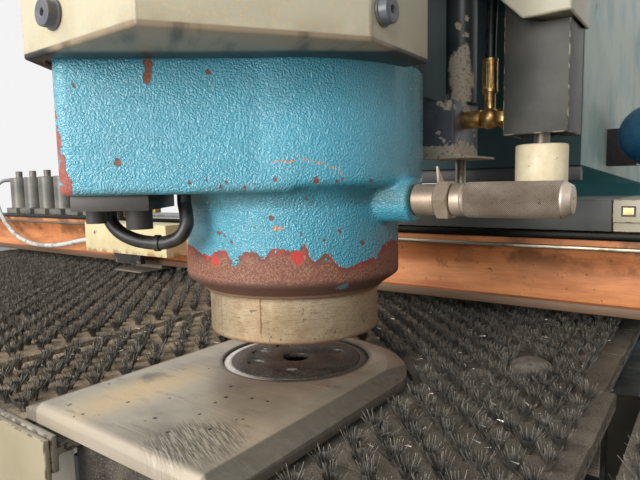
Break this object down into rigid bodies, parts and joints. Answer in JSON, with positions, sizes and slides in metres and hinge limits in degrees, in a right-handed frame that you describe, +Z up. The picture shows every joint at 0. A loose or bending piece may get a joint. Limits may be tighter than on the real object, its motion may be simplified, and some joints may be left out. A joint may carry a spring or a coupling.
{
  "type": "single-station punch press",
  "caption": "C-frame sheet punching machine with a cast punching head, brush tables, moving cross rail, tool magazine and swinging pendant.",
  "frame": {"origin": "centre of the machine's footprint on the floor", "axes": "+X to the operator's right along the cross rail, +Y from the operator back into the throat, +Z up"},
  "size_m": [2.3, 1.855, 1.592],
  "materials": {
    "frame_paint": "blue-green gloss paint",
    "head_paint": "cyan-blue hammered paint, chipped to red primer",
    "cover_paint": "cream paint, dusty",
    "table_paint": "cream paint, chipped",
    "dark_paint": "dark grey paint, worn",
    "grey_paint": "grey satin paint",
    "rail_paint": "copper-brown lacquer, worn",
    "worn_steel": "worn ground steel",
    "turned_steel": "turned steel",
    "dark_steel": "oiled dark steel",
    "bright_steel": "machined steel",
    "brass": "turned brass",
    "ivory_plastic": "ivory nylon",
    "brush_board": "brown board, dusty",
    "bristle": "dark grey nylon bristle",
    "black_rubber": "black hose and cable",
    "grey_cable": "light grey cable sheath",
    "red_plastic": "red knob",
    "blue_plastic": "blue bowl"
  },
  "bodies": {
    "frame": {"c_frame": "frame_paint", "levelling_feet": "dark_steel", "front_cover": "table_paint", "die_bolster": "dark_steel", "die_plate": "worn_steel", "die_ring": "bright_steel", "die_disc": "dark_steel", "table_bed": "worn_steel", "table_apron": "table_paint", "centre_boards": "brush_board", "centre_tufts": "bristle", "y_guide_rails": "bright_steel", "y_drive_housing": "dark_paint", "head_casting": "head_paint", "hood": "cover_paint", "hood_screws": "dark_steel", "ram_cylinder": "grey_paint", "grip_handle": "turned_steel", "grip_nut": "bright_steel", "index_bracket": "dark_steel", "hold_down_housing": "dark_paint", "hold_down_cover": "cover_paint", "plunger_tube": "dark_paint", "plunger_block": "dark_paint", "air_fitting": "brass", "air_hose": "black_rubber", "arm_cover": "cover_paint", "cabinet": "cover_paint", "oil_bowl": "blue_plastic", "index_cable": "black_rubber"},
    "ram_slide_body": {"ram": "bright_steel", "punch": "dark_steel"},
    "sleeve_body": {"stripper_sleeve": "turned_steel"},
    "pad_body": {"hold_down_rod": "bright_steel", "hold_down_pad": "ivory_plastic"},
    "plunger_body": {"plunger_pin": "dark_steel"},
    "gantry": {"left_wing_frame": "table_paint", "right_wing_frame": "table_paint", "left_wing_boards": "brush_board", "right_wing_boards": "brush_board", "left_wing_tufts": "bristle", "right_wing_tufts": "bristle", "wing_gussets": "frame_paint", "y_guide_blocks": "bright_steel", "cross_beam": "grey_paint", "rail_cover": "grey_paint", "reader_box": "cover_paint"},
    "x_rail": {"rail_beam": "rail_paint", "rail_strips": "bright_steel", "clamp_bodies": "table_paint", "tool_holders": "dark_steel", "rail_cable": "grey_cable"},
    "left_jaw": {"left_clamp_jaw": "dark_steel"},
    "right_jaw": {"right_clamp_jaw": "dark_steel"},
    "drawer": {"slug_drawer": "grey_paint"},
    "door": {"cabinet_door": "cover_paint"},
    "switch": {"main_switch": "red_plastic"},
    "boom": {"pendant_boom": "cover_paint"},
    "pendant_head": {"pendant": "cover_paint"},
    "stop_button": {"e_stop_button": "red_plastic"}
  },
  "joints": [
    {"name": "ram_slide", "type": "slide", "parent": "frame", "child": "ram_slide_body", "axis": [0, 0, 1], "range_m": [-0.035, 0]},
    {"name": "sleeve_slide", "type": "slide", "parent": "frame", "child": "sleeve_body", "axis": [0, 0, 1], "range_m": [-0.024, 0]},
    {"name": "pad_slide", "type": "slide", "parent": "frame", "child": "pad_body", "axis": [0, 0, 1], "range_m": [-0.112, 0]},
    {"name": "plunger_slide", "type": "slide", "parent": "frame", "child": "plunger_body", "axis": [0, 0, 1], "range_m": [-0.112, 0]},
    {"name": "gantry_slide", "type": "slide", "parent": "frame", "child": "gantry", "axis": [0, 1, 0], "range_m": [0, 0.55]},
    {"name": "rail_slide", "type": "slide", "parent": "gantry", "child": "x_rail", "axis": [1, 0, 0], "range_m": [-0.4, 0.4]},
    {"name": "left_jaw_hinge", "type": "hinge", "parent": "x_rail", "child": "left_jaw", "pos_m": [-0.5, -0.5035, 0.941], "axis": [1, 0, 0], "range_deg": [0, 16]},
    {"name": "right_jaw_hinge", "type": "hinge", "parent": "x_rail", "child": "right_jaw", "pos_m": [0.6, -0.5035, 0.941], "axis": [1, 0, 0], "range_deg": [0, 16]},
    {"name": "drawer_slide", "type": "slide", "parent": "frame", "child": "drawer", "axis": [0, -1, 0], "range_m": [0, 0.2]},
    {"name": "door_hinge", "type": "hinge", "parent": "frame", "child": "door", "pos_m": [-0.3, 0.9275, 0.9], "axis": [0, 0, 1], "range_deg": [0, 110]},
    {"name": "switch_turn", "type": "hinge", "parent": "frame", "child": "switch", "pos_m": [0.3, 0.8275, 1.16], "axis": [1, 0, 0], "range_deg": [0, 90]},
    {"name": "boom_swing", "type": "hinge", "parent": "frame", "child": "boom", "pos_m": [0, -0.2725, 1.5], "axis": [0, 0, 1], "range_deg": [-60, 30]},
    {"name": "pendant_turn", "type": "hinge", "parent": "boom", "child": "pendant_head", "pos_m": [0.85, -0.2725, 1.43], "axis": [0, 0, 1], "range_deg": [-90, 90]},
    {"name": "stop_press", "type": "slide", "parent": "pendant_head", "child": "stop_button", "axis": [0, 1, 0], "range_m": [0, 0.006], "stiffness_N_per_m": 1200}
  ]
}
